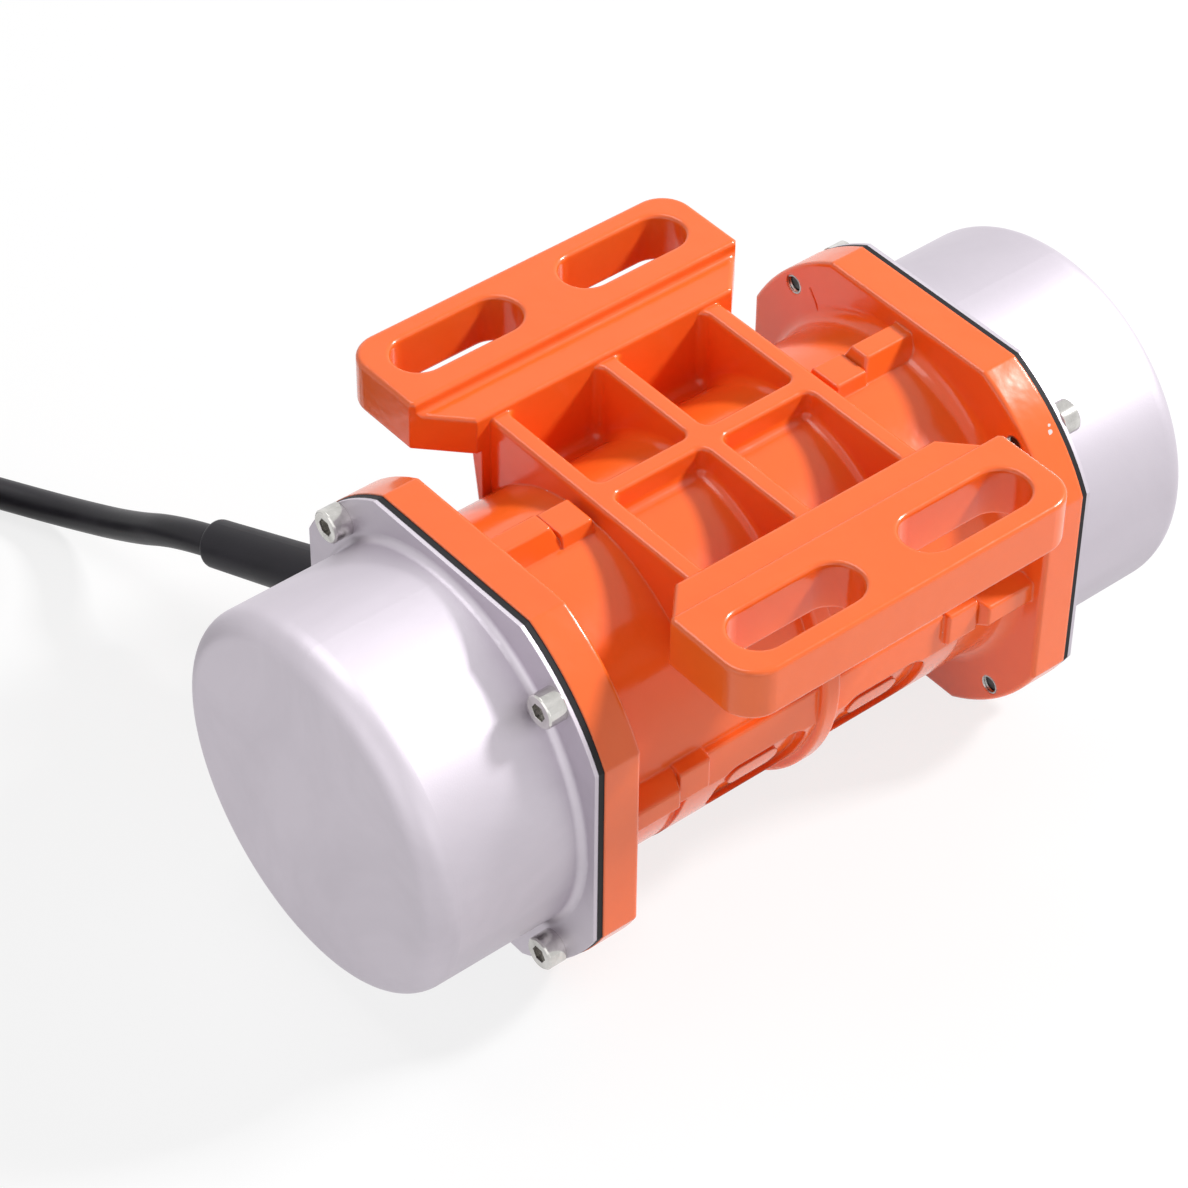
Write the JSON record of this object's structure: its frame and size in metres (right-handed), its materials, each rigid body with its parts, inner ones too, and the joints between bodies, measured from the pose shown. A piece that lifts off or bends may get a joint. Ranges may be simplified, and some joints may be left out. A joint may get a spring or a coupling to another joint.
{
  "type": "vibration motor",
  "caption": "Foot-mounted electric vibration motor with slotted feet over a ribbed cast body, deep drawn end caps over adjustable eccentric weights, and a sleeved rubber cable.",
  "frame": {"origin": "centre of the mounting face of the two feet, midway between the four slots", "axes": "+X along the shaft towards the end away from the cable; +Z out of the mounting face, so the motor is stored as pictured, feet up; +Y towards the foot on the cable's side"},
  "size_m": [0.3287, 0.3236, 0.1075],
  "materials": {
    "enamel": "gloss orange enamel over casting",
    "gasket": "matt black sheet rubber",
    "stainless": "satin drawn stainless steel",
    "nickel": "bright plated",
    "cast_aluminium": "as cast",
    "zinc": "zinc plated",
    "bearing_steel": "ground and polished",
    "cage_steel": "pressed",
    "spring_steel": "blackened",
    "steel": "turned",
    "weight_steel": "oiled flame-cut plate",
    "laminations": "stacked sheet",
    "copper": "varnished copper wire",
    "sleeve_rubber": "satin black moulded rubber",
    "cable_rubber": "matt black rubber sheath",
    "core_insulation": "smooth insulation",
    "tin": "tinned copper"
  },
  "bodies": {
    "motor": {"housing": "enamel", "gasket_left": "gasket", "gasket_right": "gasket", "end_cap_left": "stainless", "end_cap_right": "stainless", "cap_screws_left": "nickel", "cap_screws_right": "nickel", "end_shield_left": "cast_aluminium", "end_shield_right": "cast_aluminium", "shield_screws_left": "zinc", "shield_screws_right": "zinc", "bearing_outer_left": "bearing_steel", "bearing_outer_right": "bearing_steel", "bearing_clip_left": "spring_steel", "bearing_clip_right": "spring_steel", "preload_washer": "spring_steel", "stator_core": "laminations", "stator_winding": "copper", "cable_sleeve": "sleeve_rubber", "cable": "cable_rubber", "cable_coil": "cable_rubber", "cable_cores": "core_insulation", "core_ferrules": "tin"},
    "rotor": {"shaft": "steel", "rotor_core": "laminations", "rotor_cage": "cast_aluminium", "bearing_inner_left": "bearing_steel", "bearing_inner_right": "bearing_steel", "spacer_left": "steel", "spacer_right": "steel", "inner_weight_left": "weight_steel", "inner_weight_right": "weight_steel", "weight_key_left": "steel", "weight_key_right": "steel", "grub_screw_left": "spring_steel", "grub_screw_right": "spring_steel", "weight_clip_left": "spring_steel", "weight_clip_right": "spring_steel"},
    "outer_weight_left": {"outer_weight_left": "weight_steel", "clamp_bolt_left": "zinc"},
    "ball_set_left": {"bearing_cage_left": "cage_steel", "bearing_balls_left": "bearing_steel"},
    "outer_weight_right": {"outer_weight_right": "weight_steel", "clamp_bolt_right": "zinc"},
    "ball_set_right": {"bearing_cage_right": "cage_steel", "bearing_balls_right": "bearing_steel"}
  },
  "joints": [
    {"name": "rotor_spin", "type": "hinge", "parent": "motor", "child": "rotor", "pos_m": [0, 0, -0.0545], "axis": [1, 0, 0], "continuous": true},
    {"name": "weight_setting_left", "type": "hinge", "parent": "rotor", "child": "outer_weight_left", "pos_m": [-0.1005, 0, -0.0545], "axis": [-1, 0, 0], "range_deg": [0, 180]},
    {"name": "ball_orbit_left", "type": "hinge", "parent": "motor", "child": "ball_set_left", "pos_m": [-0.0635, 0, -0.0545], "axis": [1, 0, 0], "continuous": true},
    {"name": "weight_setting_right", "type": "hinge", "parent": "rotor", "child": "outer_weight_right", "pos_m": [0.1005, 0, -0.0545], "axis": [1, 0, 0], "range_deg": [0, 180]},
    {"name": "ball_orbit_right", "type": "hinge", "parent": "motor", "child": "ball_set_right", "pos_m": [0.0635, 0, -0.0545], "axis": [1, 0, 0], "continuous": true}
  ],
  "couplings": [
    {"joint": "ball_orbit_left", "follows": "rotor_spin", "ratio": 0.381},
    {"joint": "ball_orbit_right", "follows": "rotor_spin", "ratio": 0.381}
  ]
}
